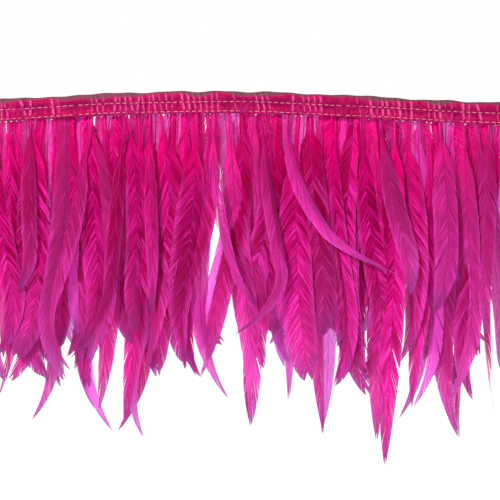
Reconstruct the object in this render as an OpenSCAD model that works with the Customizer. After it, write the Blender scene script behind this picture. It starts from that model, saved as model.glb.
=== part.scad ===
// Feather fringe trim: rooster tail feathers hanging from a folded, twice-stitched ribbon.
// The ribbon runs along X, the feathers hang down -Z, and the front faces -Y.
// The origin is on the ribbon's back face, halfway between the two rows of stitching.

/* [Strip] */
// Length of the strip along its ribbon
strip_length = 914.4; // [720:0.1:1200]
// Gap between neighbouring lengths of ribbon, at the places where the strip bends
bend_gap = 0.4; // [0.2:0.1:1]
// Half the height of the slow wave that the ribbon hangs in
wave_height = 4.2; // [0:0.1:6]
// Distance from crest to crest of that wave
wave_length = 480; // [400:10:900]

/* [Ribbon] */
// Height of the folded ribbon
ribbon_height = 15; // [12:0.5:20]
// Thickness of one ply of the ribbon
ply = 0.5; // [0.4:0.05:0.8]
// Space left between the layers sewn inside the ribbon
layer_gap = 0.05; // [0.03:0.01:0.2]

/* [Sewn-in layers] */
// Thickness of the stay tape inside the ribbon
stay_thickness = 0.3; // [0.2:0.05:0.6]
// Height of the stay tape, as a share of the space inside the ribbon
stay_height = 0.76; // [0.5:0.01:0.9]
// Diameter of the cord that the quills are strung on
cord_diameter = 0.35; // [0.25:0.05:0.8]
// Width of a quill end inside the ribbon
quill_width = 1.4; // [1:0.1:2]
// Length of a quill end, as a share of the space inside the ribbon
quill_length = 0.79; // [0.5:0.01:0.9]

/* [Stitching] */
// Length of one stitch
stitch_length = 3; // [2:0.1:4]
// Space between one stitch and the next
stitch_space = 1.3; // [0.8:0.1:2]
// Width of the thread
thread_width = 0.6; // [0.4:0.05:0.8]
// How far the stitches stand out from the ribbon
stitch_relief = 0.15; // [0.1:0.05:0.3]
// Distance between the two rows of stitching
stitch_rows = 6.4; // [5:0.1:7]
// Height of the lower row above the ribbon's lower edge
hem = 1.2; // [1:0.1:2]

/* [Feathers] */
// Full width of the widest feather
feather_width = 18; // [14:0.5:23]
// Full width of the narrowest feather
narrow_width = 12; // [9:0.5:14]
// Shortest ordinary feather
short_feather = 142; // [120:1:160]
// Longest ordinary feather, before the long ones that stand out
ordinary_feather = 180; // [165:1:200]
// Thickness of a vane
vane_thickness = 0.3; // [0.24:0.02:0.4]
// Thickness of the shaft, which stands out in front of its vane
shaft_depth = 0.62; // [0.5:0.02:0.8]
// Width of the shaft at its root
shaft_width = 1.5; // [1.2:0.1:2]
// Space between the shafts of one row and the vanes of the next, at the ribbon
row_gap = 0.06; // [0.04:0.01:0.2]
// Gap between the ribbon's lower edge and the roots of the feathers, where they swing
root_gap = 1; // [0.8:0.1:2]
// Space between the widest feathers of one row
vane_clearance = 5.5; // [5:0.5:8]
// Space between a feather and the place where the strip bends
side_clearance = 1; // [0.8:0.1:2]
// Forward tilt of the back row, in degrees
back_tilt = 1.6; // [1:0.1:2.5]
// Extra forward tilt of each row in front of it, in degrees
tilt_step = 0.56; // [0.5:0.02:0.7]
// Greatest sideways sweep of a row of feathers from root to tip
sweep = 22; // [0:1:24]

/* [Hidden] */
LENGTHS = 5;
ROWS = 6;
SIDE_POINTS = 13;

// Feathers that stand out: where the tip is along the ribbon, and how long the feather is.
LONG_FEATHERS = [
    [-141, 187], [-122, 205], [-104, 184], [-77, 199], [-65, 215], [-55, 210], [-45, 219],
    [-23, 173], [-8, 178], [13, 194], [26, 211], [52, 194], [76, 216], [81, 175], [113, 218],
    [120, 235], [130, 203], [136, 194], [158, 190], [170, 213], [184, 187], [191, 199]
];
// The list repeats every so often along the strip, and this is the middle of the listed stretch.
REPEAT = 342;
LIST_MIDDLE = 27;
// How near a tip must be to its place in the list.
TIP_REACH = 2.2;
// Where the long feathers' width lies between the narrowest (0) and the widest (1).
LONG_WIDTH = 0.15;

length_x = strip_length / LENGTHS;
low = -(stitch_rows / 2 + hem);
high = low + ribbon_height;
inside_height = ribbon_height - ply;
// How far the bottoms of the stay tape and the quill ends are above the ribbon's lower edge.
STAY_RISE = 0.5;
QUILL_RISE = 0.3;
// Width of a quill end's top as a share of its bottom.
QUILL_TAPER = 0.6;
row_pitch = shaft_depth + row_gap;
quill_stack = ROWS * row_pitch;
cord_back = ply + layer_gap + quill_stack;
stay_back = cord_back + cord_diameter + layer_gap;
pocket_depth = stay_back + stay_thickness + layer_gap - ply;
ribbon_depth = pocket_depth + 2 * ply;
groove_depth = 0.6 * ply;
// The running thread fills half of its groove, and a stitch starts a quarter of the way down.
THREAD_FILL = 0.5;
STITCH_START = 0.75;
// How far a cut reaches past the face that it opens.
CUT_OVER = 1;

edge_margin = feather_width / 2 + side_clearance;
spacing = feather_width + vane_clearance;
slot = spacing / ROWS;
per_row = floor((length_x - 2 * edge_margin) / spacing + 1 / ROWS);
slots = per_row * ROWS;

// The order in which neighbouring slots go to the rows, so that front and back rows alternate.
ROW_ORDER = [1, 4, 2, 5, 3, 6];
// Each row's share of the full sweep, and its direction.
ROW_SWEEP = [0.8, -0.6, 0.45, -1, 0.7, -0.35];

// Rise of the ribbon at a place along the strip.
function wave(x) = wave_height * (cos(360 * x / wave_length) - 1);

// Where length k of the strip starts and ends.
function start_x(k) = (k - 1 - LENGTHS / 2) * length_x;

// Where a slot's quill leaves the ribbon.
function slot_x(k, q) = start_x(k) + length_x / 2 + (q - (slots - 1) / 2) * slot;

// The slot of feather i in row j, and the row that a slot belongs to.
function slot_of(j, i) = i * ROWS + search(j, ROW_ORDER)[0];
function row_of(q) = ROW_ORDER[q % ROWS];

// How far the back of a row of feathers is from the ribbon's back face.
function row_back(j) = ply + layer_gap + (ROWS - j) * row_pitch;

// A repeatable random share from 0 to 1 for one feather and one purpose. The seed is a sum that no
// two feathers share.
SEED_STEPS = [977, 31, 7919];
function chance(k, q, purpose) = rands(0, 1, 1, SEED_STEPS * [k, q, purpose])[0];

function blend(a, b, t) = a + (b - a) * t;
function ease(t) = t * t * (3 - 2 * t);

// Sideways distance from root to tip. It fades to nothing towards both ends of a length.
LEAST_SWEEP = 0.7;
function sweep_of(k, q) =
    sweep * ROW_SWEEP[row_of(q) - 1] * blend(LEAST_SWEEP, 1, chance(k, row_of(q), 5))
    * (k % 2 == 0 ? -1 : 1) * sin(180 * (q + 0.5) / slots);

function tip_x(k, q) = slot_x(k, q) + sweep_of(k, q);

function listed_length(x) =
    let (place = x - REPEAT * round((x - LIST_MIDDLE) / REPEAT))
    max([0, for (long = LONG_FEATHERS) if (abs(long[0] - place) < TIP_REACH) long[1]]);

function feather_length(k, q) =
    let (listed = listed_length(tip_x(k, q)))
    listed > 0 ? listed : blend(short_feather, ordinary_feather, chance(k, q, 1));

function feather_wide(k, q) =
    let (listed = listed_length(tip_x(k, q)) > 0)
    blend(narrow_width, feather_width, listed ? LONG_WIDTH : chance(k, q, 2));

// Tips are pointed, rounded or broken off square: how sharply the vane narrows and where it starts to.
TIP_KINDS = [[0.5, 1.7, 1], [0.5, 1.7, 1], [0.74, 2.2, 0.6], [0.6, 2, 0.8], [0.5, 2.6, 0.35]];
function tip_kind(k, q) =
    listed_length(tip_x(k, q)) > 0 ? TIP_KINDS[0]
    : TIP_KINDS[floor(chance(k, q, 3) * len(TIP_KINDS))];

// Half width of a vane as a share of its full half width, from the root (0) to the tip (1).
ROOT_SHARE = 0.5;
FULL_FROM = 0.3;
function vane_share(t, kind) =
    blend(ROOT_SHARE, 1, ease(min(1, t / FULL_FROM)))
    * (t <= kind[0] ? 1 : pow(1 - pow((t - kind[0]) / (1 - kind[0]), kind[1]), kind[2]));

// A centre line that leaves the root straight down and bends steadily to one side.
function centre_x(t, side) = side * t * t;

// A vane is a little wider on its right.
LEFT_PART = 0.46;
function vane_outline(long, wide, side, kind) = concat(
    [for (n = [0:SIDE_POINTS]) let (t = n / SIDE_POINTS)
        [centre_x(t, side) - LEFT_PART * wide * vane_share(t, kind), -long * t]],
    [for (n = [SIDE_POINTS - 1:-1:0]) let (t = n / SIDE_POINTS)
        [centre_x(t, side) + (1 - LEFT_PART) * wide * vane_share(t, kind), -long * t]]
);

// The shaft runs to nine tenths of the feather and narrows as it goes.
SHAFT_REACH = 0.9;
SHAFT_POINTS = 6;
SHAFT_TAPER = 0.75;
function shaft_half(t) = shaft_width / 2 * (1 - SHAFT_TAPER * t);
function shaft_outline(long, side) = concat(
    [for (n = [0:SHAFT_POINTS]) let (t = SHAFT_REACH * n / SHAFT_POINTS)
        [centre_x(t, side) - shaft_half(t), -long * t]],
    [for (n = [SHAFT_POINTS:-1:0]) let (t = SHAFT_REACH * n / SHAFT_POINTS)
        [centre_x(t, side) + shaft_half(t), -long * t]]
);

// An outline drawn in X and Z, given a depth towards the front from a distance behind it.
module slab(outline, back, depth) {
    rotate([90, 0, 0])
        translate([0, 0, back])
            linear_extrude(depth)
                polygon(outline);
}

// A band that follows the ribbon's wave along one length of the strip.
WAVE_STEPS = 12;
function band(k, bottom, top, inset) =
    let (from = start_x(k) + inset, step = (length_x - 2 * inset) / WAVE_STEPS)
    concat(
        [for (n = [0:WAVE_STEPS]) let (x = from + n * step) [x, wave(x) + bottom]],
        [for (n = [WAVE_STEPS:-1:0]) let (x = from + n * step) [x, wave(x) + top]]
    );

function row_z(upper) = upper ? stitch_rows / 2 : -stitch_rows / 2;

module groove(k, upper) {
    z = row_z(upper);
    slab(
        band(k, z - thread_width / 2, z + thread_width / 2, bend_gap / 2 - CUT_OVER),
        ribbon_depth - groove_depth, groove_depth + CUT_OVER
    );
}

// The ribbon is folded over the top, with the layers between its two plies.
module ribbon(k) {
    color([0.72, 0.13, 0.36])
        difference() {
            slab(band(k, low, high, bend_gap / 2), 0, ribbon_depth);
            slab(band(k, low - CUT_OVER, high - ply, bend_gap / 2 - CUT_OVER), ply, pocket_depth);
            groove(k, true);
            groove(k, false);
        }
}

module stay_tape(k) {
    bottom = low + STAY_RISE;
    color([0.86, 0.36, 0.52])
        slab(band(k, bottom, bottom + stay_height * inside_height, bend_gap / 2), stay_back, stay_thickness);
}

module stringing_cord(k) {
    color([0.93, 0.62, 0.7])
        slab(
            band(k, -cord_diameter / 2, cord_diameter / 2, bend_gap / 2),
            cord_back, cord_diameter
        );
}

// One flattened quill end for every feather of this length.
module quill_ends(k) {
    half = quill_width / 2;
    tall = quill_length * inside_height;
    color([0.95, 0.72, 0.8])
        for (q = [0:slots - 1]) {
            x = slot_x(k, q);
            bottom = low + QUILL_RISE + wave(x);
            slab(
                [[x - half, bottom], [x + half, bottom],
                    [x + half * QUILL_TAPER, bottom + tall], [x - half * QUILL_TAPER, bottom + tall]],
                row_back(row_of(q)), row_pitch - row_gap
            );
        }
}

// The thread lies in its groove and comes up over the ribbon at each stitch.
module stitching(k, upper) {
    z = row_z(upper);
    half = thread_width / 2 - layer_gap;
    pitch = stitch_length + stitch_space;
    count = floor((length_x - bend_gap - stitch_space) / pitch);
    first = start_x(k) + (length_x - count * pitch + stitch_space) / 2;
    color([1, 0.5, 0.62]) {
        slab(
            band(k, z - half, z + half, bend_gap / 2),
            ribbon_depth - groove_depth, THREAD_FILL * groove_depth
        );
        for (n = [0:count - 1]) {
            a = first + n * pitch;
            b = a + stitch_length;
            za = wave(a) + z;
            zb = wave(b) + z;
            slab(
                [[a, za - half], [b, zb - half], [b, zb + half], [a, za + half]],
                ribbon_depth - STITCH_START * groove_depth, STITCH_START * groove_depth + stitch_relief
            );
        }
    }
}

module feather(long, wide, side, kind) {
    slab(vane_outline(long, wide, side, kind), 0, vane_thickness);
    slab(shaft_outline(long, side), 0, shaft_depth);
}

// One row of separate feathers, tilted forward from their roots.
module feathers(k, j) {
    color([0.86 - 0.03 * j, 0.1 + 0.02 * j, 0.44 + 0.03 * j])
        for (i = [0:per_row - 1]) {
            q = slot_of(j, i);
            x = slot_x(k, q);
            translate([x, -row_back(j), low - root_gap + wave(x)])
                rotate([-(back_tilt + (ROWS - j) * tilt_step), 0, 0])
                    feather(feather_length(k, q), feather_wide(k, q), sweep_of(k, q), tip_kind(k, q));
        }
}

for (k = [1:LENGTHS]) {
    ribbon(k);
    stay_tape(k);
    quill_ends(k);
    stringing_cord(k);
    stitching(k, true);
    stitching(k, false);
    for (j = [1:ROWS]) {
        feathers(k, j);
    }
}
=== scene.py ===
import math
from functools import partial

import bpy
import numpy as np
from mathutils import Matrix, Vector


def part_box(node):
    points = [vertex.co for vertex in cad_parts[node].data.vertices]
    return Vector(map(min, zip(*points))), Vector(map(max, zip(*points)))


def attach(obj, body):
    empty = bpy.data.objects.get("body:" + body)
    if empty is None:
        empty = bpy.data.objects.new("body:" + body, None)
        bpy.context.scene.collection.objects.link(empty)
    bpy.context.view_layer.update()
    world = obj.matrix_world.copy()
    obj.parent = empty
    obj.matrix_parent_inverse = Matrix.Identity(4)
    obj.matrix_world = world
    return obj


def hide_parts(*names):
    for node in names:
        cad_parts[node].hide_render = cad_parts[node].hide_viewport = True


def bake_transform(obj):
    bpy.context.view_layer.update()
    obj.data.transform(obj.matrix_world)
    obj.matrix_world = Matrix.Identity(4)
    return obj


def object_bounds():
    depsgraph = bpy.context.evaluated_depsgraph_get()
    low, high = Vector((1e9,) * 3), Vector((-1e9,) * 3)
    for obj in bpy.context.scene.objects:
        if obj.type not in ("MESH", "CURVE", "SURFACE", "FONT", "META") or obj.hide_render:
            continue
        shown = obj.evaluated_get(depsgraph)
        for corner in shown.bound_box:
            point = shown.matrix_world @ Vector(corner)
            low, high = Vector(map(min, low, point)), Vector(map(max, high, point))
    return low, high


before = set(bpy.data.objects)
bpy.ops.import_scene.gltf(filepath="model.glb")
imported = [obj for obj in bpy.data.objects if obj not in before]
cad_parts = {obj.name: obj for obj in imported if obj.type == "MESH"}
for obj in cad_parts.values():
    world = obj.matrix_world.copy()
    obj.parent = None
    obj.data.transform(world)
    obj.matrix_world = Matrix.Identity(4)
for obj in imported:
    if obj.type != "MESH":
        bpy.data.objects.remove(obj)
cad_low, cad_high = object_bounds()

MM = 0.001
LENGTHS = 5
EACH_LENGTH = range(1, LENGTHS + 1)
ROWS = 6
SEED = 20

# Where each length of the strip starts and ends along X.
LENGTH_X = (cad_high[0] - cad_low[0]) / LENGTHS
ENDS = [cad_low[0] + LENGTH_X * k for k in range(LENGTHS + 1)]

# The ribbon's box gives the header's depth, and its lower edge at the middle of the strip.
RIBBON_DEPTH = -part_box("ribbon_3")[0][1]
RIBBON_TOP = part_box("ribbon_3")[1][2]
RIBBON_HEIGHT = 15 * MM
RIBBON_LOW = RIBBON_TOP - RIBBON_HEIGHT
STITCH_ROWS = (3.2 * MM, -3.2 * MM)
WAVE_HEIGHT = 4.2 * MM
WAVE_LENGTH = 480 * MM


# ------------ meshes

def new_piece(name, points, quads, materials, uv=None, second_uv=None, slots=None, **values):
    """A mesh object from arrays: points (..., 3), quads (m, 4), and per-point maps and values.

    uv is the map named OFBake, second_uv the map that a pattern follows, slots the material of
    each face, and every other named array becomes a float attribute of the points.
    """
    points = points.reshape(-1, 3)
    mesh = bpy.data.meshes.new(name)
    mesh.vertices.add(len(points))
    mesh.vertices.foreach_set("co", np.ascontiguousarray(points, np.float32).ravel())
    mesh.loops.add(quads.size)
    mesh.loops.foreach_set("vertex_index", np.ascontiguousarray(quads, np.int32).ravel())
    mesh.polygons.add(len(quads))
    mesh.polygons.foreach_set("loop_start", np.arange(0, quads.size, 4, dtype=np.int32))
    mesh.update(calc_edges=True)
    mesh.polygons.foreach_set("use_smooth", np.ones(len(quads), bool))
    for layer, places in (("OFBake", uv), ("pattern", second_uv)):
        if places is not None:
            corners = places.reshape(-1, 2)[quads.ravel()]
            made = mesh.uv_layers.new(name=layer)
            made.data.foreach_set("uv", np.ascontiguousarray(corners, np.float32).ravel())
    for key, value in values.items():
        attribute = mesh.attributes.new(key, "FLOAT", "POINT")
        attribute.data.foreach_set("value", np.ascontiguousarray(value, np.float32).ravel())
    for material in materials:
        mesh.materials.append(material)
    if slots is not None:
        mesh.polygons.foreach_set("material_index", np.ascontiguousarray(slots, np.int32))
    mesh.validate()
    piece = bpy.data.objects.new(name, mesh)
    bpy.context.scene.collection.objects.link(piece)
    return piece


def grid_quads(grids, rows, columns, flipped=None):
    """Quads of several grids stored one after another, each rows by columns points.

    A quad joins a point, its neighbour in the next row, that one's neighbour in the next column and its
    own. Where flipped is true, the order is turned round so that the face looks the other way.
    """
    corner = np.arange((rows - 1) * columns).reshape(rows - 1, columns)[:, :-1].ravel()
    one = np.stack([corner, corner + columns, corner + columns + 1, corner + 1], axis=1)
    quads = one[None] + (np.arange(grids) * rows * columns)[:, None, None]
    if flipped is not None:
        quads[flipped] = quads[flipped][..., ::-1]
    return quads.reshape(-1, 4)


def smooth(low, high, x):
    """0 below low, 1 above high, and the cubic 3t^2 - 2t^3 between."""
    t = np.clip((x - low) / (high - low), 0, 1)
    return t * t * (3 - 2 * t)


def unit(v):
    """Vectors divided by their lengths."""
    return v / np.maximum(np.linalg.norm(v, axis=-1, keepdims=True), 1e-12)


def seeded(*numbers):
    """Random numbers of a piece's own, the same in every run."""
    return np.random.default_rng([SEED, *numbers])


def paired(a, b):
    """Two arrays, spread to one shape, as the last axis of one array."""
    return np.stack(np.broadcast_arrays(a, b), -1)


def filled(values, shape):
    """Named values, each spread over a grid of points and laid out in one row."""
    return {key: np.broadcast_to(value, shape).ravel() for key, value in values.items()}


def column(values):
    """Values as one column, a row for each feather."""
    return np.asarray(values, float).reshape(-1, 1)


# ------------ what the frame says

def loose_solids(node):
    """The points of each separate solid of a CAD node.

    Points at one place are joined, and the lowest number is handed round every triangle until no number
    changes, so each solid ends up with a number of its own.
    """
    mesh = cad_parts[node].data
    points = np.empty(len(mesh.vertices) * 3, np.float32)
    mesh.vertices.foreach_get("co", points)
    corners = np.empty(len(mesh.loops), np.int32)
    mesh.loops.foreach_get("vertex_index", corners)
    places, joined = np.unique(np.round(points.reshape(-1, 3), 6), axis=0, return_inverse=True)
    triangles = joined.ravel()[corners].reshape(-1, 3)
    number, before = np.arange(len(places)), None
    while before is None or (number != before).any():
        before = number.copy()
        np.minimum.at(number, triangles.ravel(), np.repeat(number[triangles].min(1), 3))
        number = number[number]
    return [places[number == one] for one in np.unique(number)]


def read_row(node):
    """The feathers of one CAD row as arrays: root, tip, full width and bluntness.

    The root is the middle of the highest points and the tip that of the lowest. Beside the line that
    runs from root to tip with the square of the share, the width is the spread of the points from 0.28
    to 0.42 of the length, and the bluntness is the spread near 0.77 as a share of it.
    """
    rows = []
    for points in loose_solids(node):
        top, bottom = points[:, 2].max(), points[:, 2].min()
        root = points[points[:, 2] > top - 0.3 * MM].mean(0)
        tip = points[points[:, 2] < bottom + 0.3 * MM].mean(0)
        share = (top - points[:, 2]) / (top - bottom)
        beside = points[:, 0] - root[0] - (tip[0] - root[0]) * share ** 2
        width = np.ptp(beside[(share > 0.28) & (share < 0.42)])
        blunt = np.ptp(beside[(share > 0.74) & (share < 0.8)]) / width
        rows.append([*root, *tip, width, blunt])
    rows = np.array(sorted(rows))
    return {"root": rows[:, :3], "tip": rows[:, 3:6], "width": rows[:, 6], "blunt": rows[:, 7]}


def wave(x):
    """Rise of the ribbon along the strip: a slow cosine that is 0 at the middle."""
    return WAVE_HEIGHT * (np.cos(math.tau * x / WAVE_LENGTH) - 1)


# ------------ node trees

def add(tree, kind, settings=None, **inputs):
    """A node with its settings; each named input is set to a value, or joined if given a socket.

    An input named i0, i1 and so on is counted from the first.
    """
    made = tree.nodes.new(kind)
    for key, value in (settings or {}).items():
        setattr(made, key, value)
    for key, value in inputs.items():
        name = int(key[1:]) if key[1:].isdigit() else key.replace("_", " ")
        if isinstance(value, bpy.types.NodeSocket):
            tree.links.new(value, made.inputs[name])
        else:
            made.inputs[name].default_value = value
    return made


def math_node(operation, a, b=0.0, clamp=False):
    """One step of arithmetic on a socket and a value or another socket.

    This and the next helpers put their node in the tree that their first socket is in.
    """
    settings = {"operation": operation, "use_clamp": clamp}
    return add(a.id_data, "ShaderNodeMath", settings, i0=a, i1=b).outputs[0]


times, plus, minus = (partial(math_node, step) for step in ("MULTIPLY", "ADD", "SUBTRACT"))


def mix_colours(factor, a, b):
    """Colour a turning into colour b as factor goes from 0 to 1."""
    return add(factor.id_data, "ShaderNodeMix", {"data_type": "RGBA"}, i0=factor, i6=a, i7=b).outputs[2]


def layered(colour, *layers):
    """A colour with others laid over it in turn, each given as its share and itself."""
    for share, over in layers:
        colour = mix_colours(share, colour, over)
    return colour


def between(value, low, high, to_low=0.0, to_high=1.0):
    """A value carried from one range to another, smoothly and held at the ends."""
    ranges = {"Value": value, "From_Min": low, "From_Max": high, "To_Min": to_low, "To_Max": to_high}
    settings = {"interpolation_type": "SMOOTHSTEP"}
    return add(value.id_data, "ShaderNodeMapRange", settings, **ranges).outputs[0]


def noise(vector, scale, detail=2.0, rough=0.5):
    """Soft random values from 0 to 1 over a vector."""
    parts = {"Vector": vector, "Scale": scale, "Detail": detail, "Roughness": rough}
    return add(vector.id_data, "ShaderNodeTexNoise", None, **parts).outputs[0]


def streaks(vector, scale, detail=2.0, rough=0.5):
    """Noise over a vector with each part scaled on its own, which draws it out into streaks."""
    stretched = add(vector.id_data, "ShaderNodeMapping", None, Vector=vector, Scale=scale).outputs[0]
    return noise(stretched, 1.0, detail, rough)


def attribute(tree, name):
    """A float attribute of the points."""
    return add(tree, "ShaderNodeAttribute", {"attribute_name": name}).outputs["Fac"]


def pattern_map(tree):
    """The piece's own map in millimetres."""
    return add(tree, "ShaderNodeUVMap", {"uv_map": "pattern"}).outputs[0]


def object_place(tree):
    """Object coordinates, in metres."""
    return add(tree, "ShaderNodeTexCoord").outputs["Object"]


def raised(height, strength, distance):
    """A normal that stands up with a height."""
    parts = {"Height": height, "Strength": strength, "Distance": distance}
    return add(height.id_data, "ShaderNodeBump", None, **parts).outputs[0]


def placed(tree, group, **inputs):
    """A node group placed in a tree; returns its outputs."""
    return add(tree, "ShaderNodeGroup", {"node_tree": group}, **inputs).outputs


def principled(colour, rough, gloss, **inputs):
    """A Principled shader of a colour, a roughness and a specular level."""
    inputs.update(Base_Color=colour, Roughness=rough, Specular_IOR_Level=gloss)
    return add(colour.id_data, "ShaderNodeBsdfPrincipled", None, **inputs).outputs[0]


def mix_shaders(share, a, b):
    """Shader a turning into shader b as share goes from 0 to 1."""
    return add(a.id_data, "ShaderNodeMixShader", None, i0=share, i1=a, i2=b).outputs[0]


def new_material(name):
    """An empty node material and its tree."""
    material = bpy.data.materials.new(name)
    material.use_nodes = True
    material.node_tree.nodes.clear()
    return material, material.node_tree


def finished(material, shader):
    """Joins a shader to the material's output and returns the material."""
    tree = material.node_tree
    tree.links.new(shader, add(tree, "ShaderNodeOutputMaterial").inputs["Surface"])
    return material


def new_group(name, inputs, outputs):
    """A shader node group with named sockets; returns it with its input and output nodes."""
    group = bpy.data.node_groups.new(name, "ShaderNodeTree")
    for in_out, sockets in (("INPUT", inputs), ("OUTPUT", outputs)):
        for socket, kind in sockets.items():
            group.interface.new_socket(socket, in_out=in_out, socket_type="NodeSocket" + kind)
    return group, group.nodes.new("NodeGroupInput"), group.nodes.new("NodeGroupOutput")


# ------------ finishes

DYE = {"Root": (0.92, 0.0003, 0.20, 1), "Deep": (0.23, 0.0001, 0.028, 1), "Bright": (0.92, 0.005, 0.34, 1),
       "Mauve": (0.54, 0.010, 0.22, 1), "Pale": (0.88, 0.085, 0.66, 1), "Dusk": (0.13, 0.030, 0.17, 1)}
BARB_VALUES = ("Along", "Across", "Dye", "Lock", "Faded", "Layer")
TINT = (1.0, 0.03, 0.5, 1)             # the dye also tints what the barbs reflect
THICK_GLOW = (0.62, 0.003, 0.20, 1)    # light through a full vane
THIN_GLOW = (0.92, 0.34, 1.0, 1)       # and through a thin one
VANE_GLOW, DOWN_GLOW = 0.38, 0.4       # shares of the light that go through vanes and through down
WHITE = (1, 1, 1, 1)


def dyed_barbs():
    """The dye of feather barbs, shared by vanes and down.

    The dye goes from the root colour to the body colour down the feather. The body is mauve on front
    feathers with little dye, Layer 0, a painted sheen, and near the root colour at the back, Layer 1, a
    painted glow of the light that comes through them. Two noises drawn out along the barbs, at the width
    of a barb and of a lock, darken and brighten it; a lock is also painted lighter as its group tilts
    forward and darker as it tilts back, and the brightest streaks get a painted highlight. Furrows of
    painted shade lie where a third crosses its middle. It pales towards the tip and the margin, more on
    the front layers, a painted light coming through the thin vane, and the last of the tip turns dusky
    where the dye has worn off.
    """
    inputs = {"Pattern": "Vector", **dict.fromkeys(BARB_VALUES, "Float"), **dict.fromkeys(DYE, "Color")}
    outputs = {"Color": "Color", "Height": "Float", "Thin": "Float"}
    group, given, made = new_group("dyed barbs", inputs, outputs)
    pattern = given.outputs["Pattern"]
    along, across, dye, lock, faded, layer = (given.outputs[name] for name in BARB_VALUES)
    root, deep, bright, mauve, pale, dusk = (given.outputs[name] for name in DYE)
    fine = streaks(pattern, (1.3, 0.05, 1), 3.0, 0.65)
    clump = streaks(pattern, (0.33, 0.016, 1))
    patch = streaks(pattern, (0.03, 0.05, 1), 3.0)
    # Painted shade: dark lines where this noise crosses its middle stand for the shade in slits between
    # groups of barbs.
    furrow_shade = streaks(pattern, (0.6, 0.02, 1), 3.0)
    furrow_shade = math_node("ABSOLUTE", minus(furrow_shade, 0.5))
    streak = plus(times(fine, 0.72), times(clump, 0.28))
    # The barb streaks, a real grain, plus painted light from the lock value: locks whose group tilts forward
    # are lighter, and those tilting back are darker.
    lit = plus(streak, times(minus(lock, 0.5), 0.2))
    # Painted sheen: front feathers are muted towards mauve, more of them where the dye value is low. Painted
    # glow: back feathers take the hot root colour of light coming through them.
    painted_sheen = times(between(dye, 0.0, 1.0, 0.95, 0.15), between(layer, 0.0, 0.8, 1.0, 0.0))
    body = layered(bright, (painted_sheen, mauve), (times(layer, 0.85), root))
    shade = plus(times(patch, 0.45), times(dye, 0.55))
    # Painted highlight: the brightest barb streaks turn pale, more so down the feather.
    painted_highlight = times(between(lit, 0.54, 0.70, 0.0, 0.6), between(along, 0.1, 0.6, 0.3, 1.0))
    # Thin grows towards the tip and the margin. It sets how much light goes through the vane, and in the
    # colour it also lays a painted backlight of pale, more on the front layers.
    outward = times(between(across, 0.6, 1.0), between(along, 0.1, 0.5, 0.05, 0.4))
    thin = plus(between(along, 0.45, 1.0, 0.0, 0.34), outward)
    thin = times(thin, between(fine, 0.35, 0.65, 0.25, 1.0), True)
    worn = plus(along, times(minus(clump, 0.5), 0.16))
    worn = plus(worn, times(across, 0.04))
    colour = layered(
        deep,
        (between(lit, 0.39, 0.59), body),
        (between(along, 0.08, 0.36, 0.85, 0.0), root),
        (between(shade, 0.2, 0.6, 0.8, 0.0), deep),
        (between(furrow_shade, 0.0, 0.05, 0.8, 0.0), deep),
        (between(fine, 0.30, 0.44, 0.85, 0.0), deep),
        (painted_highlight, pale),
        (times(faded, between(fine, 0.3, 0.6, 0.3, 0.8)), pale),
        (times(thin, between(layer, 0.0, 1.0, 1.0, 0.5)), pale),
        (between(worn, 0.85, 1.05, 0.0, 0.85), dusk))
    for name, value in zip(outputs, (colour, streak, thin)):
        group.links.new(value, made.inputs[name])
    return group


def woven():
    """A woven surface: two sets of threads at right angles, each a wave, and the higher one shows.

    Scale is the number of threads in one unit of the pattern.
    """
    outputs = {"Height": "Float", "Wear": "Float"}
    group, given, made = new_group("woven threads", {"Pattern": "Vector", "Scale": "Float"}, outputs)
    pattern, scale = given.outputs["Pattern"], given.outputs["Scale"]
    parts = add(group, "ShaderNodeSeparateXYZ", None, Vector=pattern).outputs
    turned = [times(times(parts[axis], scale), math.tau) for axis in "XY"]
    height = math_node("MAXIMUM", *(math_node("SINE", turn) for turn in turned))
    group.links.new(height, made.inputs["Height"])
    group.links.new(noise(pattern, 0.35, 4.0), made.inputs["Wear"])
    return group


def vane_material(barbs):
    """Dyed vane: satin barbs that let some light through, more of it where the vane is thin."""
    material, tree = new_material("dyed vane")
    values = {name: attribute(tree, name.lower()) for name in BARB_VALUES}
    dye = placed(tree, barbs, Pattern=pattern_map(tree), **values, **DYE)
    normal = raised(dye["Height"], 0.6, 0.0006)
    rough = between(dye["Height"], 0.3, 0.7, 0.6, 0.4)
    surface = principled(dye["Color"], rough, 0.2, Normal=normal, Specular_Tint=TINT)
    violet = plus(times(dye["Thin"], 0.5), times(values["Faded"], 1.1), True)
    through = mix_colours(violet, THICK_GLOW, THIN_GLOW)
    glow = add(tree, "ShaderNodeBsdfTranslucent", None, Color=through, Normal=normal).outputs[0]
    return finished(material, mix_shaders(VANE_GLOW, surface, glow))


def shaft_material():
    """Dyed horn: darker and glossier than the vane, paler at the root, streaked along its length."""
    material, tree = new_material("dyed shaft")
    streak, along = streaks(pattern_map(tree), (0.06, 2.5, 1), 3.0), attribute(tree, "along")
    colour = layered(
        (0.20, 0.002, 0.075, 1),
        (between(streak, 0.3, 0.7), (0.42, 0.006, 0.17, 1)),
        (between(along, 0.0, 0.12, 0.5, 0.0), (0.72, 0.05, 0.30, 1)),
        (between(along, 0.75, 1.0, 0.0, 0.7), (0.12, 0.01, 0.08, 1)))
    rough = between(streak, 0.3, 0.7, 0.3, 0.45)
    return finished(material, principled(colour, rough, 0.4, Specular_Tint=TINT))


def down_material(barbs):
    """The fluff at the base of a feather: the same dye, matt and softer."""
    material, tree = new_material("dyed down")
    values = {name: attribute(tree, name.lower()) for name in ("Along", "Dye")}
    dye = placed(tree, barbs, Pattern=pattern_map(tree), Across=0.0, Lock=0.5, Faded=0.25, Layer=0.4,
                 **values, **DYE)
    surface = principled(dye["Color"], 0.7, 0.3, Specular_Tint=TINT)
    glow = add(tree, "ShaderNodeBsdfTranslucent", None, Color=(0.95, 0.12, 0.60, 1)).outputs[0]
    return finished(material, mix_shaders(DOWN_GLOW, surface, glow))


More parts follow.
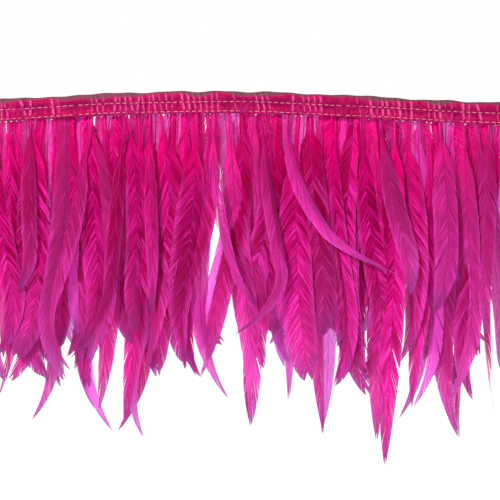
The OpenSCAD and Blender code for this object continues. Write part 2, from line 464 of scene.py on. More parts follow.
def ribbon_material(weave):
    """Satin ribbon: a fine weave with a worn streak along it and a stain in the sewn channel.

    It is paler where a quill rubs it, darker with a painted shade where it sinks, and brown with a painted
    shade on the fold.
    """
    material, tree = new_material("satin ribbon")
    pattern = pattern_map(tree)
    cloth = placed(tree, weave, Pattern=pattern, Scale=2.4)
    relief, ridge, fold, channel = (attribute(tree, name) for name in ("relief", "ridge", "fold", "channel"))
    streak = streaks(pattern, (0.9, 0.1, 1), 3.0)
    stain = between(streaks(pattern, (0.07, 0.2, 1)), 0.35, 0.6, 0.15, 0.75)
    colour = layered(
        (0.17, 0.0006, 0.027, 1),
        (between(streak, 0.3, 0.7), (0.40, 0.004, 0.080, 1)),
        (between(cloth["Wear"], 0.4, 0.7, 0.0, 0.45), (0.52, 0.012, 0.13, 1)),
        (times(channel, stain), (0.15, 0.0004, 0.040, 1)),
        (between(ridge, 0.1, 0.6, 0.0, 0.8), (0.62, 0.075, 0.28, 1)),
        # Painted shade: darker where the relief sinks, along the rows of stitching.
        (between(relief, -0.4, -0.1, 0.5, 0.0), (0.20, 0.002, 0.04, 1)),
        # Painted shade: a dull brown on the fold, where the ribbon turns away over the top.
        (times(fold, between(streak, 0.3, 0.7, 1.0, 0.85)), (0.115, 0.050, 0.060, 1)))
    sheen = {"Sheen_Weight": 0.02, "Sheen_Roughness": 0.3, "Sheen_Tint": (1, 0.25, 0.5, 1)}
    return finished(material, principled(
        colour, between(streak, 0.3, 0.7, 0.5, 0.36), 0.3, Specular_Tint=(1, 0.1, 0.35, 1),
        Normal=raised(cloth["Height"], 0.25, 0.0001), **sheen))


def thread_material():
    """Pale pink sewing thread: two plies twisted together, so slanting bands run along it."""
    material, tree = new_material("sewing thread")
    parts = add(tree, "ShaderNodeSeparateXYZ", None, Vector=pattern_map(tree)).outputs
    turned = plus(times(parts["X"], 9.0), parts["Y"])
    ply = math_node("SINE", times(turned, math.tau))
    # Painted shade: the thread is darker in the groove between the plies and lighter on their crests.
    colour = mix_colours(between(ply, -1.0, 1.0), (0.84, 0.13, 0.27, 1), (0.96, 0.36, 0.48, 1))
    return finished(material, principled(colour, 0.45, 0.4, Normal=raised(ply, 0.4, 0.0001),
                                         Sheen_Weight=0.3, Sheen_Tint=(1, 0.7, 0.8, 1)))


def tape_material(weave):
    """Woven cotton, on Object coordinates in millimetres, for the layers inside the ribbon."""
    material, tree = new_material("woven cotton")
    flat = {"Vector": object_place(tree), "Rotation": (math.pi / 2, 0, 0), "Scale": (1000, 1000, 1000)}
    cloth = placed(tree, weave, Pattern=add(tree, "ShaderNodeMapping", None, **flat).outputs[0], Scale=1.4)
    colour = layered(
        (0.42, 0.05, 0.13, 1),
        # Painted shade: the cotton is darker where the weave is low, between the threads.
        (between(cloth["Height"], -0.6, 1.0), (0.66, 0.13, 0.26, 1)),
        (between(cloth["Wear"], 0.35, 0.7, 0.0, 0.4), (0.74, 0.24, 0.36, 1)))
    return finished(material, principled(colour, 0.85, 0.2, Normal=raised(cloth["Height"], 0.4, 0.0001)))


def quill_material():
    """Bare dyed quill: pale horn stained unevenly, on Object coordinates."""
    material, tree = new_material("stained quill")
    stain = streaks(object_place(tree), (900, 900, 120), 4.0)
    colour = mix_colours(between(stain, 0.3, 0.7), (0.55, 0.06, 0.20, 1), (0.80, 0.32, 0.45, 1))
    return finished(material, principled(colour, between(stain, 0.3, 0.7, 0.3, 0.5), 0.45))


def floor_material():
    """Matt white paper with a very faint mottle, lit evenly enough to read as white."""
    material, tree = new_material("studio paper")
    mottle = noise(object_place(tree), 3.0)
    colour = mix_colours(mottle, (0.90, 0.90, 0.90, 1), (0.94, 0.94, 0.94, 1))
    return finished(material, principled(colour, 0.9, 0.1, Emission_Color=WHITE, Emission_Strength=0.82))


BARBS = dyed_barbs()
WEAVE = woven()
VANE = vane_material(BARBS)
SHAFT = shaft_material()
DOWN = down_material(BARBS)
RIBBON = ribbon_material(WEAVE)
THREAD = thread_material()
TAPE = tape_material(WEAVE)
QUILL = quill_material()


# ------------ the camera

SCENE = bpy.context.scene
LENS, SENSOR = 100.0, 36.0    # millimetres
FRAME_WIDTH = 341 * MM
FRAME_CENTRE = (27.5 * MM, -RIBBON_DEPTH, RIBBON_TOP - 108.6 * MM)

optics = bpy.data.cameras.new("camera")
optics.lens, optics.sensor_width = LENS, SENSOR
camera = bpy.data.objects.new("camera", optics)
SCENE.collection.objects.link(camera)
camera.location = (FRAME_CENTRE[0], FRAME_CENTRE[1] - FRAME_WIDTH * LENS / SENSOR, FRAME_CENTRE[2])
camera.rotation_euler = (math.pi / 2, 0, 0)
SCENE.camera = camera


# ------------ feathers

LOCKS = 70          # barb locks on each side of a shaft
LOCK_ROWS = 3       # points across one lock
BARB_POINTS = 7     # points from the shaft to the margin
FOOT_REACH = 0.97   # share of the feather where the last barb leaves the shaft
SHAFT_RINGS = 22
SHAFT_SIDES = 5
SICKLE_START = 0.6  # share of the shaft where the sickle and the curl begin
PUSHES = 31         # different pushes and tilts that the groups of locks of one side share


def shaft_place(plan, s):
    """Places on the shafts at shares s (feather, point) of their lengths.

    Down by the length. Sideways by the sweep times s squared, plus a sway of s(1 - s), plus the sickle
    times the power 2.4 of how far s is past 0.6. Forward by the lean, plus a bow that is highest half
    way, plus a curl that grows with the square of how far s is past 0.6.
    """
    end = np.clip((s - SICKLE_START) / (1 - SICKLE_START), 0, None)
    x, y, z = (plan["root"][:, axis, None] for axis in range(3))
    x = x + plan["sweep"] * s ** 2 + plan["sway"] * s * (1 - s) + plan["sickle"] * end ** 2.4
    y = y - plan["lean"] * plan["long"] * s - plan["bow"] * 4 * s * (1 - s) - plan["curl"] * end ** 2
    return np.stack([x, y, z - plan["long"] * s], axis=-1)


def shaft_frame(plan, s):
    """Place, and the directions down the shaft, to its side and out of its face, at shares s.

    The side direction is X made square to the shaft and then turned about it by the twist, which grows
    along the feather; the face direction is square to both and looks forward.
    """
    step = 1e-3
    place = shaft_place(plan, s)
    down = unit(shaft_place(plan, s + step) - place)
    side = unit(np.array([1.0, 0, 0]) - down[..., :1] * down)
    face = np.cross(down, side)
    turn = (plan["turn"] + plan["twist"] * s)[..., None]
    return place, down, side * np.cos(turn) + face * np.sin(turn), face * np.cos(turn) - side * np.sin(turn)


def vane_half(plan, s):
    """Half width of a vane at shares s: narrow at the root, then full, closing at the tip.

    It opens in two steps below the bare root, a short one and a long one, and the short one does more of
    it on the back layers. The closing starts where the bluntness says, and follows one minus a power of
    the share beyond that.
    """
    layer = plan["layer"]
    first = smooth(plan["bare"], plan["bare"] + 0.09 - 0.03 * layer, s)
    second = smooth(plan["bare"], plan["bare"] + 0.3, s)
    early = 0.55 + 0.35 * layer
    opening = plan["narrow"] + (1 - plan["narrow"]) * (early * first + (1 - early) * second)
    start = 0.52 + 0.32 * plan["blunt"]
    past = np.clip((s - start) / (1 - start), 0, 1)
    closing = (1 - past ** (1.9 + 0.9 * plan["blunt"])) ** (1.05 - 0.55 * plan["blunt"])
    return plan["width"] / 2 * opening * closing


def barb_arrays(plan, rng):
    """Vane points (feather, side, lock, row, barb point), their maps and their values.

    A barb leaves the shaft at its foot. Its end is half a width to the side and a reach further down;
    between, the sideways part goes with v and the downward part with 0.8v + 0.2v^2, so barbs curve
    towards the tip. Locks share their edges near the shaft and close towards their own middles near the
    margin, each from a place of its own. Groups of locks are pushed down or held back, which opens
    slits, and the margin sinks behind the shaft with the square of v.
    """
    count = len(plan["root"])
    shape = (count, 2, LOCKS, LOCK_ROWS, BARB_POINTS)
    per_feather = (count, 1, 1, 1, 1)
    per_side = (count, 2, 1, 1, 1)
    per_lock = (count, 2, LOCKS, 1, 1)
    lock = np.arange(LOCKS).reshape(1, 1, LOCKS, 1, 1)
    u = np.linspace(-0.5, 0.5, LOCK_ROWS).reshape(1, 1, 1, LOCK_ROWS, 1)
    v = np.linspace(0, 1, BARB_POINTS).reshape(1, 1, 1, 1, BARB_POINTS)
    side = np.array([-1.0, 1.0]).reshape(1, 2, 1, 1, 1)
    each = {key: value.reshape(per_feather) for key, value in plan.items() if key != "root"}

    size = rng.uniform(5.0, 14.0, per_side)
    group = (lock + rng.uniform(0, 9, per_side)) / size
    group = np.floor(group + 0.4 * np.sin(lock * rng.uniform(0.3, 0.8, per_side)))
    group = np.broadcast_to(group, per_lock).astype(int) % PUSHES
    cell = np.arange(count).reshape(per_feather)
    which = np.arange(2).reshape(1, 2, 1, 1, 1)
    push = rng.normal(0, 1, (count, 2, PUSHES))[cell, which, group]
    tilt = rng.normal(0, 1, (count, 2, PUSHES))[cell, which, group]

    apart = rng.random(per_lock) < 0.03 * each["worn"]
    opening = np.where(apart, rng.uniform(0.4, 0.75, per_lock), rng.uniform(0.8, 0.95, per_lock))
    closing = np.where(apart, rng.uniform(0.4, 0.8, per_lock), rng.uniform(0, 0.12, per_lock))
    foot = np.clip((lock + 0.5 + u * (1 - closing * smooth(opening, 1.02, v))) / LOCKS, 0, 1) * FOOT_REACH
    s = np.broadcast_to(foot, shape)

    place, down, sideways, face = (a.reshape(*shape, 3) for a in shaft_frame(plan, s.reshape(count, -1)))
    room = (1 - s) * each["long"]
    reach = each["barb"] * (0.12 + 0.88 * smooth(0, 0.14, s)) * (0.75 + 0.45 * s)
    reach = room * (1 - np.exp(-reach / np.maximum(room, 1e-6)))
    beyond = np.clip(s + 0.7 * reach / each["long"], 0, 1)
    half = vane_half(plan, beyond.reshape(count, -1)).reshape(shape) * (1 + side * each["lopsided"])
    broken = (rng.random(per_lock) < 0.02) * 0.25 * each["worn"]
    ragged = 1 - np.abs(rng.normal(0, 0.012, per_lock)) - broken

    out = half * v * ragged
    slide = each["slip"] * push * v ** 2 * smooth(0.05, 0.25, s) * np.minimum(1, (1 - s) * 5)
    along = reach * (0.8 * v + 0.2 * v ** 2) + slide
    depth = -each["crown"] * (out / (each["width"] / 2)) ** 2
    depth = depth + 0.4 * MM * tilt * v ** 1.5 + 0.1 * MM * rng.normal(0, 1, per_lock) * v
    points = place + down * along[..., None] + sideways * (side * out)[..., None] + face * depth[..., None]

    middle = (lock + 0.5 + 0.96 * u) / LOCKS
    uv = paired((cell + 0.5 + side * (0.05 + 0.42 * v)) / count, 0.01 + 0.98 * middle)
    shift = 40.0 * cell + 13.0 * side
    pattern = paired(middle * each["long"] / MM + shift, v * (half + reach) / MM + shift)
    share = np.clip(s + along / each["long"], 0, 1)
    # The lock value is a tone that varies at random, plus a painted light from its group's tilt: lighter when
    # tilted forward, darker when tilted back.
    values = {"along": share, "across": v, "dye": each["dye"], "layer": each["layer"],
              "faded": each["faded"] * (0.65 + 0.35 * smooth(0.12, 0.5, share)),
              "lock": np.clip(0.5 + 0.2 * rng.normal(0, 1, per_lock) + 0.15 * tilt, 0, 1)}
    values = filled(values, shape)
    flipped = np.zeros((count, 2, LOCKS), bool)
    flipped[:, 0] = True
    quads = grid_quads(count * 2 * LOCKS, LOCK_ROWS, BARB_POINTS, flipped.ravel())
    return points.reshape(-1, 3), quads, uv.reshape(-1, 2), pattern.reshape(-1, 2), values


def shaft_arrays(plan):
    """Shaft points (feather, ring, side): a tube that narrows steadily and stands a little forward."""
    count = len(plan["root"])
    s = np.broadcast_to(np.linspace(-0.004, 0.975, SHAFT_RINGS), (count, SHAFT_RINGS))
    place, _, sideways, face = (a[:, :, None, :] for a in shaft_frame(plan, s))
    angle = np.linspace(0, math.tau, SHAFT_SIDES + 1)[None, None, :, None]
    radius = (plan["shaft"] * (1 - 0.88 * np.clip(s, 0, 1) ** 0.7))[:, :, None, None]
    points = place + radius * (np.cos(angle) * sideways * 1.1 + (np.sin(angle) + 0.35) * face * 0.8)
    shape = points.shape[:3]
    cell = np.arange(count).reshape(count, 1, 1)
    round_it = np.linspace(0, 1, SHAFT_SIDES + 1).reshape(1, 1, -1)
    down = np.linspace(0, 1, SHAFT_RINGS).reshape(1, -1, 1)
    uv = paired((cell + 0.5 + 0.07 * (round_it - 0.5)) / count, 0.01 + 0.98 * down)
    pattern = paired(down * plan["long"][:, :, None] / MM + 17 * cell, round_it * 3)
    quads = grid_quads(count, SHAFT_RINGS, SHAFT_SIDES + 1)
    values = dict.fromkeys(("across", "faded", "layer", "lock"), 0.0)
    values.update(along=down, dye=plan["dye"][:, :, None])
    values = filled(values, shape)
    return points.reshape(-1, 3), quads, uv.reshape(-1, 2), pattern.reshape(-1, 2), values


def hang(piece):
    """Bakes a piece's placing into its mesh."""
    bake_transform(piece)


def feather_piece(name, plan, rng):
    """One piece of several feathers: their vanes in the vane finish and their shafts in horn."""
    vane, shaft = barb_arrays(plan, rng), shaft_arrays(plan)
    points, uv, pattern = (np.concatenate([vane[n], shaft[n]]) for n in (0, 2, 3))
    quads = np.concatenate([vane[1], shaft[1] + len(vane[0])])
    values = {key: np.concatenate([vane[4][key], shaft[4][key]]) for key in vane[4]}
    slots = np.repeat([0, 1], [len(vane[1]), len(shaft[1])])
    piece = new_piece(name, points, quads, [VANE, SHAFT], uv, pattern, slots, **values)
    hang(piece)
    return piece


# The sickle bend of the long feathers, by where their tips hang, in millimetres. The list starts again
# every REPEAT along the strip.
REPEAT, MIDDLE = 342.0, 27.0
NEAR, FREE_BEND = 1.2, 17    # how near a tip is to its place on the list, and how far others bend
TIP_X = np.array([-141.0, -122, -104, -77, -65, -55, -45, -23, -8, 13, 26, 52, 76, 81, 113, 120, 130, 136,
                  158, 170, 184, 191])
TIP_BEND = np.array([-9.0, -34, -6, 12, 27, 30, 36, 0, 8, 20, 7, 24, -9, 9, 6, 4, -8, -24, -22, 8, 8, 14])


def sickles(tip_x, rng):
    """How far each tip curls sideways: from the list where a tip is on it, and at random elsewhere."""
    place = tip_x / MM - REPEAT * np.round((tip_x / MM - MIDDLE) / REPEAT)
    apart = np.abs(place[:, None] - TIP_X[None])
    listed = TIP_BEND[apart.argmin(1)]
    free = rng.normal(0, FREE_BEND, len(tip_x))
    return np.where(apart.min(1) < NEAR, listed, free) * MM


GHOSTS = 0.24    # share of the feathers behind the front rows that are faded all over


def feather_plan(root, tip, width, blunt, back, rng):
    """Everything that shapes a set of feathers, from their roots, tips, widths and bluntness.

    Back goes from 0, the front row, to 1, the back row: front feathers are bare and downy at the root,
    and back ones are a little narrower and carry their vane right up. Each feather gets its own share of
    the natural differences, and behind the front rows some are ghosts, as faded as a feather gets.
    Whatever its sickle, a tip stays where it was given, apart from a small jog on shorter feathers.
    """
    count = len(root)
    some, around = partial(rng.uniform, size=count), partial(rng.normal, size=count)
    fall = root[:, 2] - tip[:, 2]
    longish = smooth(0.175, 0.2, fall)
    sickle = sickles(tip[:, 0], rng)
    jog = around(0, 6 * MM) * (1 - longish)
    lone = 1 - 0.75 * back
    faded = np.clip(some(-0.5, 0.35) + 0.6 * back * rng.random(count), 0, 1)
    ghost = (rng.random(count) < GHOSTS) & (np.broadcast_to(back, count) > 0.35)
    plan = {
        "long": fall, "sweep": tip[:, 0] - root[:, 0] + jog - sickle, "lean": (root[:, 1] - tip[:, 1]) / fall,
        "width": width * some(1.0, 1.3) * (1.06 - 0.24 * smooth(0.1, 0.6, back)),
        "blunt": np.clip((blunt - 0.62) / 0.38, 0, 1) * some(0.5, 0.9),
        "sickle": sickle, "curl": around(0.5 * MM, 3.5 * MM), "sway": around(0, 17 * MM),
        "bow": some(-0.4, 1.4) * MM, "turn": around(0.05, 0.2), "twist": around(0, 0.5),
        "barb": some(17, 25) * MM, "lopsided": some(-0.2, 0.2), "worn": some(0.1, 1) * lone,
        "slip": some(0.2, 1.3) * MM * lone, "crown": some(0.9, 2.2) * MM,
        "narrow": some(0.1, 0.22) * (1 - back) + some(0.42, 0.82) * back,
        "bare": some(0.05, 0.17) * (1 - back), "shaft": some(0.32, 0.45) * MM, "dye": rng.random(count),
        "faded": np.where(ghost, 1.0, faded), "layer": np.broadcast_to(back, count),
    }
    return {"root": root, **{key: column(value) for key, value in plan.items()}}


QUILL_TUCK = 1.9 * MM    # how far the roots of the feathers go up into the ribbon
TUCK = 0.9 * MM          # and those of the extra feathers


def feathers():
    """A detailed piece for each CAD row of feathers."""
    for k in EACH_LENGTH:
        for j in range(1, ROWS + 1):
            node = f"feathers_{k}_row_{j}"
            rng = seeded(k, j)
            row = read_row(node)
            root = row["root"].copy()
            root[:, 2] += QUILL_TUCK
            back = (j - 1) / (ROWS - 1)
            plan = feather_plan(root, row["tip"], row["width"], row["blunt"], back, rng)
            piece = feather_piece(f"plumes_{k}_row_{j}", plan, rng)
            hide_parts(node)


def end_feathers():
    """Feathers sewn in at both ends of every length, which lap over the next one and hide the bend.

    Their roots lie in the last 9 mm of a length, one behind another, and their tips lean outward.
    """
    places = np.array([8.3, 5.6, 2.6, 6.9, 4.1, 1.2]) * MM
    for k in EACH_LENGTH:
        for n, (end, out) in enumerate(((ENDS[k - 1], -1.0), (ENDS[k], 1.0))):
            rng = seeded(50, k, n)
            back = np.linspace(0.08, 0.95, len(places))
            x = end - out * places
            y = -(0.55 + 3.4 * (1 - back)) * MM
            long = rng.uniform(150, 190, len(places)) * MM
            lean = np.radians(1.6 + 2.8 * (1 - back))
            root = np.stack([x, y, RIBBON_LOW + wave(x) + TUCK], -1)
            tip_x = x + out * rng.uniform(-4, 7, len(places)) * MM
            tip = np.stack([tip_x, y - long * np.sin(lean), root[:, 2] - long], -1)
            width, blunt = rng.uniform(13, 17, len(places)) * MM, rng.uniform(0.62, 1.0, len(places))
            plan = feather_plan(root, tip, width, blunt, back, rng)
            plan["narrow"] = np.maximum(plan["narrow"], 0.5)
            feather_piece(f"end_plumes_{k}_{'left' if out < 0 else 'right'}", plan, rng)


LOOSE_LEAN = math.radians(7.0)
CROSSING = np.array([[53, 131, 112, 10, 24, 0, 0.45], [-58, -95, 168, 11, -26, 0, 0.0]])


def loose_feathers():
    """A few feathers that hang in front of the rest and cross them.

    Each is root x, tip x, fall, width and sickle in millimetres, then bluntness and how faded. The
    middle length has the two that cross furthest, and the others are drawn at random.
    """
    for k in EACH_LENGTH:
        rng = seeded(60, k)
        count = 5
        x = np.linspace(ENDS[k - 1] / MM + 22, ENDS[k] / MM - 22, count) + rng.uniform(-9, 9, count)
        rows = np.stack([x, x + rng.normal(0, 17, count), rng.uniform(118, 168, count),
                         rng.uniform(9, 17, count), rng.normal(0, 16, count), rng.uniform(0, 0.5, count),
                         rng.uniform(0, 0.35, count)], -1)
        if k == (LENGTHS + 1) // 2:
            rows = np.concatenate([rows[1:4], CROSSING])
        rows[:, :5] *= MM
        root_x, tip_x, fall, width, sickle, blunt, faded = rows.T
        depth = np.arange(count) % 2 * 0.3 * MM
        root = np.stack([root_x, -4.7 * MM - depth, RIBBON_LOW + wave(root_x) + TUCK], -1)
        tip = np.stack([tip_x, root[:, 1] - fall * math.sin(LOOSE_LEAN), root[:, 2] - fall], -1)
        plan = feather_plan(root, tip, width, np.full(count, 0.62), np.zeros(count), rng)
        sweep = tip_x - root_x - sickle
        given = {"width": width, "sickle": sickle, "blunt": blunt, "faded": faded, "sweep": sweep}
        plan.update({key: column(value) for key, value in given.items()}, sway=plan["sway"] * 0.5)
        feather_piece(f"loose_plumes_{k}", plan, rng)


feathers()
end_feathers()
loose_feathers()


# ------------ down and wisps

HAIR_POINTS = 6
HAIRS = 26         # downy barbs at one root or in one tuft
TUFTS = MM * np.array([-54.5, 22.3, 62.5, 102.7, 168.6, -128, -170, -222, -291, -352, -410, 214, 266, 331,
                       379, 430])


def hair_piece(name, start, spread, forward, sizes, rng, rises=0.0):
    """Fine downy barbs, each a narrow strip along a curled path.

    A barb heads down, or up for the share rises of them, turned aside by a bell as wide as spread and
    leaning forward. Sizes are the limits of its length, width, curl and share along the feather, the
    first three in millimetres. Its path sags with the square of the share t, and a sine of 1 to 3 half
    turns swings it to both sides by the curl. The strip is square to the path and narrows to a point.
    """
    count = len(start)
    angle = rng.normal(0, spread, count)
    rise = np.where(rng.random(count) < rises, 1.0, -1.0) if rises else -1.0
    heading = np.stack([np.sin(angle), rng.uniform(*forward, count), rise * np.cos(angle)], -1)
    long, wide, curl, along = (rng.uniform(*limits, (count, 1, 1)) for limits in sizes)
    t = np.linspace(0, 1, HAIR_POINTS)[None, :, None]
    heading = unit(heading)[:, None, :]
    across = unit(np.cross(heading, np.array([0.0, 1.0, 0.0])))
    turns, phase = rng.uniform(1, 3, (count, 1, 1)), rng.uniform(0, math.tau, (count, 1, 1))
    swing = curl * MM * t * (np.sin(math.pi * turns * t + phase) - np.sin(phase) * (1 - t))
    fall = heading * t + np.array([0, 0, -0.25]) * t ** 2
    path = start[:, None, :] + long * MM * fall + across * swing
    path[..., 1] += rng.normal(0, 0.6 * MM, (count, 1)) * t[..., 0] ** 2
    facing = across * np.cos(phase) + np.array([0, 1.0, 0]) * np.sin(phase)
    half = wide * MM / 2 * (1 - 0.9 * t ** 2)
    points = np.stack([path - facing * half, path + facing * half], axis=2)
    cell = np.arange(count).reshape(-1, 1, 1)
    side = np.array([0.1, 0.9]).reshape(1, 1, 2)
    uv, pattern = paired((cell + side) / count, 0.02 + 0.96 * t), paired(side + 3.7 * cell, 12 * t)
    values = filled({"along": along, "dye": rng.random((count, 1, 1))}, points.shape[:3])
    piece = new_piece(name, points, grid_quads(count, HAIR_POINTS, 2), [DOWN], uv, pattern, **values)
    return piece


def down():
    """Down at the root of every feather in the front four rows, spreading to both sides of the shaft."""
    sizes = (6, 19), (0.22, 0.5), (0.3, 1.8), (0.3, 0.8)
    for k in EACH_LENGTH:
        rng = seeded(70, k)
        roots = np.concatenate([read_row(f"feathers_{k}_row_{j}")["root"] for j in (1, 2, 3, 4)])
        start = np.repeat(roots, HAIRS, axis=0)
        count = len(start)
        away = [rng.normal(0, 0.5, count), rng.uniform(-0.8, 0.2, count), -rng.uniform(0, 30, count)]
        start = start + np.stack(away, -1) * MM
        hang(hair_piece(f"down_{k}", start, 0.55, (-0.16, 0.0), sizes, rng))


def wisps():
    """Small tufts of down caught by the stitching, which spread over the front of the ribbon."""
    sizes = (3, 10), (0.25, 0.5), (0.4, 1.6), (0.4, 0.85)
    for k in EACH_LENGTH:
        rng = seeded(80, k)
        here = TUFTS[(TUFTS > ENDS[k - 1] + 8 * MM) & (TUFTS < ENDS[k] - 8 * MM)]
        middle = np.repeat(here, HAIRS)
        count = len(middle)
        x = middle + rng.normal(0, 3.4, count) * MM
        height = rng.choice([-3.4, 3.0], count, p=[0.7, 0.3]) * MM
        front = RIBBON_DEPTH + PLUMP + np.clip(relief(x, height)[0], 0, None)
        y = -front - rng.uniform(0.3, 0.8, count) * MM
        start = np.stack([x, y, height + wave(x)], -1)
        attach(hair_piece(f"wisps_{k}", start, 0.8, (-0.12, -0.02), sizes, rng, 0.6), f"header_{k}")


# ------------ the ribbon

STATION = 0.45 * MM    # between stations along the ribbon
CLOTH = 0.3 * MM       # thickness of the ribbon itself
PLUMP = 0.1 * MM       # how far the front stands proud of the header's box
FOLD_HIGH = 1.6 * MM   # height of the fold's half ellipse
BACK, OVER = 0.42, 0.16    # shares of the way round that the back and the fold take

# Where the quills push the ribbon up, from the quill ends of every length.
QUILLS = np.sort([solid[:, 0].mean() for k in EACH_LENGTH for solid in loose_solids(f"quill_ends_{k}")])
ridge_rng = seeded(100)
raised_here = ridge_rng.random(len(QUILLS)) < 0.72
RIDGE_HIGH = np.where(raised_here, ridge_rng.uniform(0.35, 0.75, len(QUILLS)), 0.08) * MM
RIDGE_WIDE = ridge_rng.uniform(0.5, 1.0, len(QUILLS)) * MM
RIDGE_SLANT = ridge_rng.normal(-0.10, 0.10, len(QUILLS))
# Seven slow waves of the ribbon: length in millimetres, turn, and height in millimetres.
SWELL_LIMITS = ((14, 60), (0, math.tau), (0.05, 0.2))
SWELL = [[ridge_rng.uniform(*limits) for limits in SWELL_LIMITS] for _ in range(7)]
MOST_SWELL = 0.3 * MM     # the waves never move the cloth further, so the quills stay inside
PINCH = 0.34 * MM         # how far a row of stitching draws the ribbon in


def relief(x, z):
    """How far the ribbon's front stands out at a place, and how much of that is a ridge over a quill.

    Each ridge is a bell over its quill, leaning with height. A few slow waves are added, held to their
    most by a tanh. Everything is scaled by how far the place is from a row of stitching, and each row
    draws the ribbon in.
    """
    bells = np.zeros_like(x)
    for place, high, wide, slant in zip(QUILLS, RIDGE_HIGH, RIDGE_WIDE, RIDGE_SLANT):
        near = np.abs(x - place) < 5 * wide
        beside = (x[near] - place - slant * z[near]) / wide
        bells[near] = np.maximum(bells[near], high * np.exp(-(beside ** 2)))
    swell = sum(high * MM * np.sin(math.tau * x / (long * MM) + turn) for long, turn, high in SWELL)
    swell = MOST_SWELL * np.tanh(swell / MOST_SWELL)
    free, pinch = np.ones_like(x), np.zeros_like(x)
    for row in STITCH_ROWS:
        close = np.exp(-(((z - row) / (1.1 * MM)) ** 2))
        free *= 1 - 0.85 * close
        pinch += close
    return (bells + swell) * free - PINCH * pinch, bells * free


def ribbon_surface(x, p):
    """The folded ribbon's outer surface at places x along it and shares p round it.

    p runs up the back, over the fold and down the front. The fold is half an ellipse. The top edge
    wavers by a slow and a quick sine, and the front carries the relief. Beside the points come the
    values that the finish reads: relief and ridges in millimetres, and how far a place is into the
    fold's painted shade and the channel between the rows of stitching.
    """
    up, over = np.clip(p / BACK, 0, 1), np.clip((p - BACK) / OVER, 0, 1)
    down = np.clip((p - BACK - OVER) / BACK, 0, 1)
    z = (RIBBON_HEIGHT - FOLD_HIGH) * (up - down) + FOLD_HIGH * np.sin(math.pi * over)
    y = -RIBBON_DEPTH * (0.5 - 0.5 * np.cos(math.pi * over))
    waver = 0.42 * MM * np.sin(x / (7.3 * MM) + 2 * np.sin(x / (31 * MM)))
    waver = waver + 0.2 * MM * np.sin(x / (2.9 * MM) + 1.3)
    high = z / RIBBON_HEIGHT
    rise, ridge = relief(x, RIBBON_LOW + z)
    front = smooth(0.50, 0.60, p)
    y = y - (rise + PLUMP) * front + 0.02 * MM * (1 - front)
    z = RIBBON_LOW + z + wave(x) + waver * high ** 2
    edge = 0.785 + 0.06 * np.sin(x / (9.5 * MM) + 1.7 * np.sin(x / (23 * MM))) + 0.03 * np.sin(x / (3.7 * MM))
    level = np.abs(high - 0.5) * RIBBON_HEIGHT
    values = {"relief": rise / MM, "ridge": ridge * front / MM, "fold": smooth(edge, edge + 0.08, high),
              "channel": front * (1 - smooth(2.4 * MM, 3.4 * MM, level))}
    return np.stack([x, y, z], -1), values


ROUND_POINTS = 38


def ribbon_piece(name, start, end):
    """One stretch of the ribbon, thickened inwards."""
    stations = max(2, int((end - start) / STATION))
    x, p = np.meshgrid(np.linspace(start, end, stations), np.linspace(0, 1, ROUND_POINTS), indexing="ij")
    points, values = ribbon_surface(x, p)
    quads = grid_quads(1, stations, ROUND_POINTS)[:, ::-1]
    uv, pattern = paired((x - start) / (end - start), p), paired(x / MM, p * 2 * RIBBON_HEIGHT / MM)
    piece = new_piece(name, points, quads, [RIBBON], uv, pattern, **values)
    wall = piece.modifiers.new("thickness", "SOLIDIFY")
    wall.thickness, wall.offset = CLOTH, -1
    return piece


def ribbon():
    """The ribbon in six stretches, so that each crosses at most one bend and the joins lie mid-length."""
    cuts = [ENDS[0], *((a + b) / 2 for a, b in zip(ENDS, ENDS[1:])), ENDS[-1]]
    for n, (start, end) in enumerate(zip(cuts, cuts[1:])):
        piece = ribbon_piece(f"satin_ribbon_{n + 1}", start, end)
        here = [k for k in (n, n + 1) if 1 <= k <= LENGTHS]
        if len(here) == 1:
            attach(piece, f"header_{here[0]}")
        else:
            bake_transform(piece)
        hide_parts(*[f"ribbon_{k}" for k in here])


ribbon()


# ------------ stitching

STITCH_PITCH = 4.3 * MM
STITCH_LONG = 3.5 * MM
THREAD_RADIUS = 0.21 * MM
STITCH_RINGS, STITCH_SIDES = 5, 5


def stitch_piece(name, k, height, back, rng):
    """One row of separate stitches, each a short thread with both ends sunk into the ribbon.

    A stitch follows the ribbon's surface, and its ends sink below it with the sixth power of the share
    from its middle to its end on the front, and with the fourth power on the back.
    """
    count = int((ENDS[k] - ENDS[k - 1]) / STITCH_PITCH)
    first = (ENDS[k] + ENDS[k - 1] - (count - 1) * STITCH_PITCH) / 2
    middle = first + STITCH_PITCH * np.arange(count) + rng.normal(0, 0.12 * MM, count)
    t = np.linspace(-1, 1, STITCH_RINGS)
    half = STITCH_LONG / 2 * rng.uniform(0.9, 1.06, count)
    x = middle[:, None] + half[:, None] * t[None]
    slant = rng.normal(0, 0.10 * MM, count)[:, None] * t[None] + 0.22 * MM * np.sin(x / (16 * MM))
    z = height + slant
    if back:
        y = np.full_like(x, 0.06 * MM) - 0.3 * MM * t[None] ** 4
    else:
        y = -(RIBBON_DEPTH + PLUMP + relief(x, z)[0]) - 0.20 * MM + 0.40 * MM * t[None] ** 6
    place = np.stack([x, y, z + wave(x)], -1)[:, :, None, :]
    angle = np.linspace(0, math.tau, STITCH_SIDES + 1)
    ring = np.stack([0 * angle, np.cos(angle), np.sin(angle)], -1)[None, None]
    radius = THREAD_RADIUS * (1 - 0.55 * t ** 6)[None, :, None, None]
    points = place + ring * radius
    cell = np.arange(count).reshape(-1, 1, 1)
    along, round_it = t.reshape(1, -1, 1) * 0.5 + 0.5, np.linspace(0, 1, STITCH_SIDES + 1).reshape(1, 1, -1)
    uv = paired((cell + 0.1 + 0.8 * along) / count, 0.05 + 0.9 * round_it)
    pattern = paired(along * STITCH_LONG / MM, round_it + 0 * cell)
    quads = grid_quads(count, STITCH_RINGS, STITCH_SIDES + 1)[:, ::-1]
    piece = new_piece(name, points, quads, [THREAD], uv, pattern)
    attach(piece, f"header_{k}")
    return piece


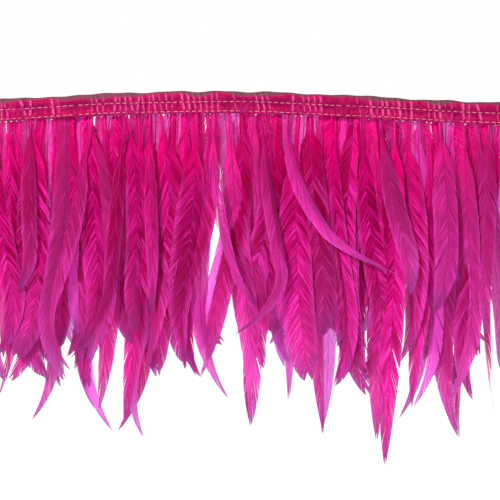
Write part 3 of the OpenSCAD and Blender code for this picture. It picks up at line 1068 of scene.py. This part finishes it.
def stitching():
    """Both rows on the front of every length, and the same two rows on its back."""
    for k in EACH_LENGTH:
        for n, (row, height) in enumerate(zip(("upper", "lower"), STITCH_ROWS)):
            rng = seeded(200, k, n)
            front = stitch_piece(f"{row}_stitches_{k}", k, height, False, rng)
            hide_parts(f"{row}_stitching_{k}")
            stitch_piece(f"{row}_back_stitches_{k}", k, height, True, rng)


stitching()


# ------------ pieces kept from the frame

down()
wisps()

for start, finish in (("stay_tape", TAPE), ("stringing_cord", TAPE), ("quill_ends", QUILL)):
    for k in EACH_LENGTH:
        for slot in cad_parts[f"{start}_{k}"].material_slots:
            slot.material = finish


# ------------ floor and light

def floor():
    """A wide flat floor, well below the tips."""
    reach, level = 9.0, cad_low[2] - 0.35
    x, y = np.meshgrid([-reach, reach], [-reach, reach], indexing="ij")
    points = np.stack([x, y, np.full_like(x, level)], -1).reshape(-1, 3)
    new_piece("floor", points, grid_quads(1, 2, 2), [floor_material()])


def lamp(name, place, aim, size, power):
    """A square soft lamp that looks at a place and isn't seen itself."""
    data = bpy.data.lights.new(name, "AREA")
    data.shape, data.size, data.energy = "SQUARE", size, power
    made = bpy.data.objects.new(name, data)
    made.location = place
    direction = np.subtract(aim, place)
    rise = math.atan2(direction[2], math.hypot(direction[0], direction[1]))
    made.rotation_euler = (math.pi / 2 + rise, 0, math.atan2(-direction[0], direction[1]))
    made.visible_camera = False
    SCENE.collection.objects.link(made)


def studio():
    """A white room: plain white to the camera and softer as a light, with a key, a fill and a back lamp."""
    world = bpy.data.worlds.new("studio")
    SCENE.world = world
    world.use_nodes = True
    tree = world.node_tree
    tree.nodes.clear()
    seen, light = (add(tree, "ShaderNodeBackground", None, Color=WHITE, Strength=strength).outputs[0]
                   for strength in (1.0, 0.26))
    both = mix_shaders(add(tree, "ShaderNodeLightPath").outputs["Is Camera Ray"], light, seen)
    tree.links.new(both, add(tree, "ShaderNodeOutputWorld").inputs["Surface"])
    aim = (0.02, 0, -0.1)
    lamp("key", (-1.15, -1.2, 1.15), aim, 0.35, 54)
    lamp("fill", (1.3, -1.6, 0.2), aim, 1.2, 6)
    lamp("back", (0.0, 1.5, 0.1), aim, 2.6, 23)


floor()
studio()
SCENE.view_settings.view_transform = "Standard"
